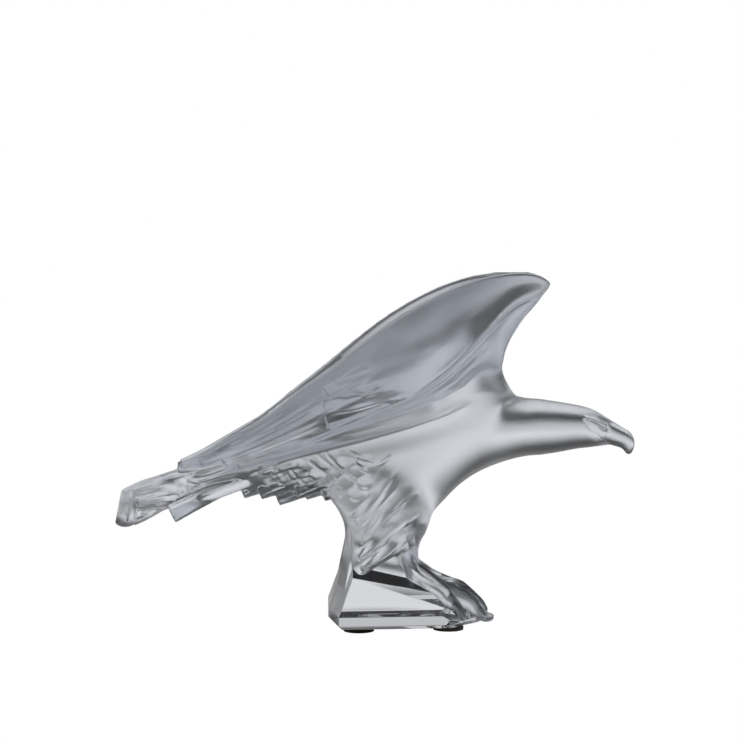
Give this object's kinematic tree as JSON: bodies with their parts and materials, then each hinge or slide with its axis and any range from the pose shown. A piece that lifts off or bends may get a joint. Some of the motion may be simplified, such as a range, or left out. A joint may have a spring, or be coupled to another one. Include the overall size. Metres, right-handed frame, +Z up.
{
  "type": "crystal bird sculpture",
  "caption": "Cast glass bird of prey with raised wings, leaning forward on a faceted glass rock, with felt pads under it; a free-standing table ornament.",
  "frame": {"origin": "on the ground, under the middle of the sculpture", "axes": "+X towards the bird's beak, +Y towards the bird's left, +Z up"},
  "size_m": [0.3452, 0.0971, 0.2325],
  "materials": {
    "satin crystal": "solid clear crystal, satin-frosted on the bird and polished on the rock's facets",
    "pad felt": "dark brown felt"
  },
  "bodies": {
    "root": {"eagle": "satin crystal", "pad_front_left": "pad felt", "pad_front_right": "pad felt", "pad_rear_left": "pad felt", "pad_rear_right": "pad felt"}
  },
  "joints": []
}
